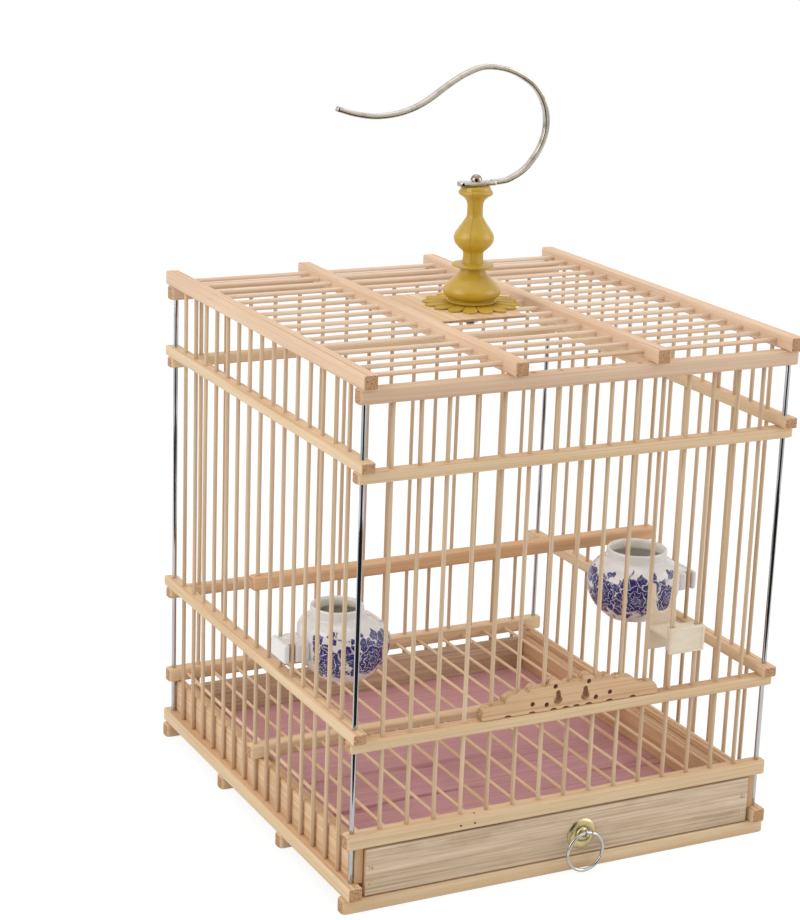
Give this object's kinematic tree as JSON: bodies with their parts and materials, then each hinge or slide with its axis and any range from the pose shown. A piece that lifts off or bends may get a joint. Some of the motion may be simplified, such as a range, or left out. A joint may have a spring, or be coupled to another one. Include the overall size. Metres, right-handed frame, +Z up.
{
  "type": "bird cage",
  "caption": "Square bamboo bird cage with a lift-up door, pull-out tray, perch, porcelain cups, a food clip and a swivelling steel hook.",
  "frame": {"origin": "centre of the square base, on the surface that the cage stands on", "axes": "+Z up towards the hook, -Y out of the front with its door and drawer, +X to the right of someone who faces the front"},
  "size_m": [0.268, 0.2744, 0.4267],
  "materials": {
    "bamboo": "light tan split bamboo, fine lengthwise grain, smooth satin, a little darker at the ends",
    "board_wood": "pale brown flat board, fine straight grain, matt",
    "pale_bamboo": "pale planed bamboo with cut and drilled edges, satin",
    "bright_steel": "bright drawn steel wire with soft reflections",
    "brass": "stamped brass with a worn dark patina in its rings",
    "mustard_plastic": "glossy moulded mustard plastic with a faint upright seam",
    "ivory_plastic": "semi-gloss moulded ivory plastic",
    "porcelain": "glossy white glaze with a blue floral band, unglazed grey-beige inside",
    "liner_sheet": "mauve-pink matt sheet with fine lines"
  },
  "bodies": {
    "cage": {"base_rail_front": "bamboo", "base_rail_inner_front": "bamboo", "base_rail_inner_back": "bamboo", "base_rail_back": "bamboo", "base_side_rail_left": "bamboo", "base_side_rail_right": "bamboo", "floor_rail_front": "bamboo", "floor_rail_back": "bamboo", "floor_grille": "bamboo", "front_grille": "bamboo", "back_grille": "bamboo", "left_grille": "bamboo", "right_grille": "bamboo", "upper_rail_left": "bamboo", "upper_rail_right": "bamboo", "upper_rail_front": "bamboo", "upper_rail_back": "bamboo", "top_rail_front": "bamboo", "top_rail_back": "bamboo", "roof_rail_left": "bamboo", "roof_rail_right": "bamboo", "roof_rail_inner_right": "bamboo", "roof_grille": "bamboo", "perch": "bamboo", "side_board_left": "board_wood", "side_board_right": "board_wood", "roof_plate": "board_wood", "corner_post_front_left": "bright_steel", "corner_post_front_right": "bright_steel", "corner_post_back_left": "bright_steel", "corner_post_back_right": "bright_steel", "hook_bolt": "bright_steel", "roof_washer": "bright_steel", "bolt_nut": "bright_steel", "finial_flower": "mustard_plastic", "finial_bell": "mustard_plastic", "finial_vase": "mustard_plastic"},
    "drawer": {"drawer_front": "board_wood", "drawer_side_left": "board_wood", "drawer_side_right": "board_wood", "drawer_back": "board_wood", "drawer_bottom": "board_wood", "tray_liner": "liner_sheet", "pull_rosette": "brass", "pull_stud": "bright_steel"},
    "pull_ring": {"pull_ring": "bright_steel"},
    "door": {"door_plate": "pale_bamboo", "door_bar_1": "bamboo", "door_bar_2": "bamboo", "door_bar_3": "bamboo", "door_bar_4": "bamboo", "door_bar_5": "bamboo"},
    "hook": {"hook": "bright_steel"},
    "cup_left": {"cup_left": "porcelain"},
    "cup_right": {"cup_right": "porcelain"},
    "food_clip": {"food_clip": "ivory_plastic"}
  },
  "joints": [
    {"name": "hook_swivel", "type": "hinge", "parent": "cage", "child": "hook", "pos_m": [0, 0, 0.3609], "axis": [0, 0, 1], "continuous": true},
    {"name": "drawer_slide", "type": "slide", "parent": "cage", "child": "drawer", "axis": [0, -1, 0], "range_m": [0, 0.2]},
    {"name": "pull_ring_swing", "type": "hinge", "parent": "drawer", "child": "pull_ring", "pos_m": [0.011, -0.137, 0.0236], "axis": [-1, 0, 0], "range_deg": [-8, 180]},
    {"name": "door_slide", "type": "slide", "parent": "cage", "child": "door", "axis": [0, 0, 1], "range_m": [0, 0.12]},
    {"name": "cup_left_slide", "type": "slide", "parent": "cage", "child": "cup_left", "axis": [0, 0, 1], "range_m": [-0.0077, 0.1195]},
    {"name": "cup_right_slide", "type": "slide", "parent": "cage", "child": "cup_right", "axis": [0, 0, 1], "range_m": [-0.0177, 0.1095]},
    {"name": "food_clip_slide", "type": "slide", "parent": "cage", "child": "food_clip", "axis": [0, 0, 1], "range_m": [-0.0214, 0.102]}
  ]
}
